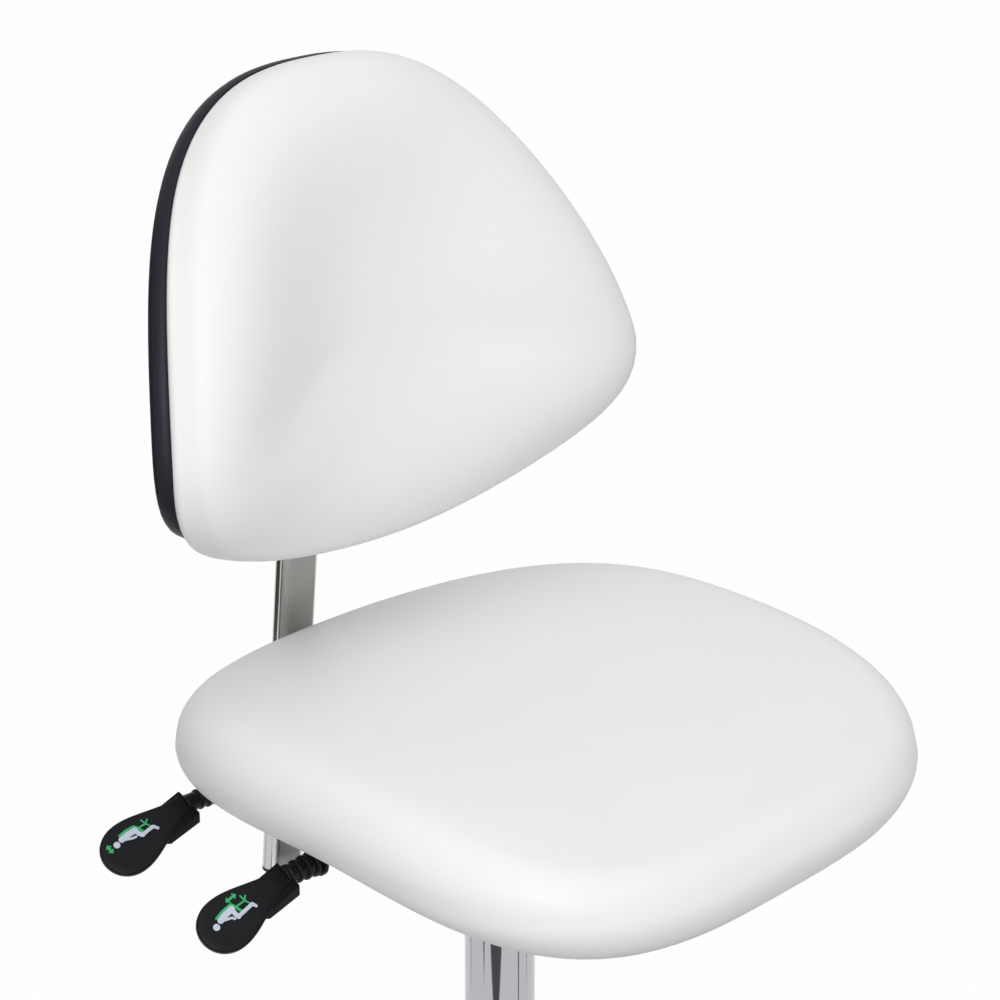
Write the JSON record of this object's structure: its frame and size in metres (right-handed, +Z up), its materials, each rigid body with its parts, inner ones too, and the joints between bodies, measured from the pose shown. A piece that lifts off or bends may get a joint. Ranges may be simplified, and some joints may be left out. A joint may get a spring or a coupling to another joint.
{
  "type": "salon stool",
  "caption": "Padded stool with a waterfall seat, a wrap-round backrest, side levers, a gas lift and a star base on castors.",
  "frame": {"origin": "on the floor, on the axis of the column", "axes": "+Z up, the sitter faces -Y, both levers point to -X"},
  "size_m": [0.6142, 0.5971, 0.9231],
  "materials": {
    "white_vinyl": "smooth white vinyl over foam",
    "black_shell": "fine grain",
    "plywood": "raw",
    "zinc_steel": "zinc plated",
    "black_steel": "powder coat",
    "black_plastic": "moulded",
    "lever_plastic": "satin moulded",
    "black_rubber": "matte",
    "satin_chrome": "satin",
    "bright_chrome": "polished",
    "wheel_plastic": "moulded nylon"
  },
  "bodies": {
    "base": {"base_hub": "bright_chrome", "base_arms": "bright_chrome", "castor_sockets": "zinc_steel", "castor_stems": "zinc_steel", "castor_grip_rings": "zinc_steel", "column_tube": "bright_chrome", "column_guide_bush": "black_plastic", "bearing_lower_washer": "zinc_steel", "bearing_balls": "zinc_steel"},
    "piston": {"piston_rod": "zinc_steel", "piston_head": "black_plastic", "bearing_upper_washer": "zinc_steel", "rubber_buffer": "black_rubber", "rod_clip": "zinc_steel"},
    "seat": {"gas_cylinder": "bright_chrome", "cylinder_gland": "zinc_steel", "taper_socket": "black_steel", "mechanism_housing": "black_steel", "seat_plate": "black_steel", "seat_bolts": "zinc_steel", "seat_tee_nuts": "zinc_steel", "seat_board": "plywood", "seat_cushion": "white_vinyl", "lever_bushes": "black_plastic", "lever_pivot_pins": "zinc_steel", "back_pivot_pin": "zinc_steel", "back_pivot_bushes": "black_plastic"},
    "valve": {"valve_pin": "zinc_steel"},
    "lift_lever": {"lift_lever_rod": "zinc_steel", "lift_lever_boot": "black_rubber", "lift_lever_paddle": "lever_plastic"},
    "lock_lever": {"lock_lever_rod": "zinc_steel", "lock_lever_boot": "black_rubber", "lock_lever_paddle": "lever_plastic", "lock_brake_pad": "black_rubber"},
    "back_arm": {"back_arm_cheeks": "black_steel", "back_pivot_drum": "black_steel", "bar_sleeve": "black_steel", "clamp_shoe": "zinc_steel"},
    "knob": {"clamp_screw": "zinc_steel", "clamp_knob": "black_plastic"},
    "backrest": {"back_bar": "satin_chrome", "back_bar_plug": "black_plastic", "back_bracket": "black_steel", "back_bracket_bolts": "zinc_steel", "back_screws": "zinc_steel", "back_board": "plywood", "back_shell": "black_shell", "back_cushion": "white_vinyl"},
    "castor_1": {"castor_1_housing": "black_plastic"},
    "castor_2": {"castor_2_housing": "black_plastic"},
    "castor_3": {"castor_3_housing": "black_plastic"},
    "castor_4": {"castor_4_housing": "black_plastic"},
    "castor_5": {"castor_5_housing": "black_plastic"},
    "castor_1_rollers": {"castor_1_wheels": "wheel_plastic"},
    "castor_2_rollers": {"castor_2_wheels": "wheel_plastic"},
    "castor_3_rollers": {"castor_3_wheels": "wheel_plastic"},
    "castor_4_rollers": {"castor_4_wheels": "wheel_plastic"},
    "castor_5_rollers": {"castor_5_wheels": "wheel_plastic"}
  },
  "joints": [
    {"name": "swivel", "type": "hinge", "parent": "base", "child": "piston", "pos_m": [0, 0, 0.07], "axis": [0, 0, 1], "continuous": true},
    {"name": "gas_lift", "type": "slide", "parent": "piston", "child": "seat", "axis": [0, 0, 1], "range_m": [-0.05, 0.08]},
    {"name": "valve_press", "type": "slide", "parent": "seat", "child": "valve", "axis": [0, 0, -1], "range_m": [0, 0.004]},
    {"name": "lift_lever_pull", "type": "hinge", "parent": "seat", "child": "lift_lever", "pos_m": [-0.048, 0, 0.448], "axis": [0, 1, 0], "range_deg": [0, 4], "stiffness_Nm_per_rad": 3, "springref_deg": -5.73},
    {"name": "lock_lever_turn", "type": "hinge", "parent": "seat", "child": "lock_lever", "pos_m": [-0.048, 0.1212, 0.448], "axis": [0, 1, 0], "range_deg": [-8, 0]},
    {"name": "back_recline", "type": "hinge", "parent": "seat", "child": "back_arm", "pos_m": [0, 0.1432, 0.438], "axis": [1, 0, 0], "range_deg": [-20, 2]},
    {"name": "back_height", "type": "slide", "parent": "back_arm", "child": "backrest", "axis": [0, -0.1038, 0.9946], "range_m": [-0.04, 0.06]},
    {"name": "knob_turn", "type": "hinge", "parent": "back_arm", "child": "knob", "pos_m": [0, 0.2217, 0.40156], "axis": [0, 0.9946, 0.1038], "range_deg": [0, 360]},
    {"name": "castor_1_swivel", "type": "hinge", "parent": "base", "child": "castor_1", "pos_m": [0, 0.29, 0.055], "axis": [0, 0, 1], "continuous": true},
    {"name": "castor_1_roll", "type": "hinge", "parent": "castor_1", "child": "castor_1_rollers", "pos_m": [-0.022, 0.29, 0.025], "axis": [0, -1, 0], "continuous": true},
    {"name": "castor_2_swivel", "type": "hinge", "parent": "base", "child": "castor_2", "pos_m": [-0.27581, 0.08962, 0.055], "axis": [0, 0, 1], "continuous": true},
    {"name": "castor_2_roll", "type": "hinge", "parent": "castor_2", "child": "castor_2_rollers", "pos_m": [-0.2826, 0.06869, 0.025], "axis": [0.9511, -0.309, 0], "continuous": true},
    {"name": "castor_3_swivel", "type": "hinge", "parent": "base", "child": "castor_3", "pos_m": [-0.17046, -0.23461, 0.055], "axis": [0, 0, 1], "continuous": true},
    {"name": "castor_3_roll", "type": "hinge", "parent": "castor_3", "child": "castor_3_rollers", "pos_m": [-0.15266, -0.24755, 0.025], "axis": [0.5878, 0.809, 0], "continuous": true},
    {"name": "castor_4_swivel", "type": "hinge", "parent": "base", "child": "castor_4", "pos_m": [0.17046, -0.23461, 0.055], "axis": [0, 0, 1], "continuous": true},
    {"name": "castor_4_roll", "type": "hinge", "parent": "castor_4", "child": "castor_4_rollers", "pos_m": [0.18826, -0.22168, 0.025], "axis": [-0.5878, 0.809, 0], "continuous": true},
    {"name": "castor_5_swivel", "type": "hinge", "parent": "base", "child": "castor_5", "pos_m": [0.27581, 0.08962, 0.055], "axis": [0, 0, 1], "continuous": true},
    {"name": "castor_5_roll", "type": "hinge", "parent": "castor_5", "child": "castor_5_rollers", "pos_m": [0.26901, 0.11054, 0.025], "axis": [-0.9511, -0.309, 0], "continuous": true}
  ],
  "couplings": [
    {"joint": "valve_press", "follows": "lift_lever_pull", "m_per_rad": 0.05}
  ]
}
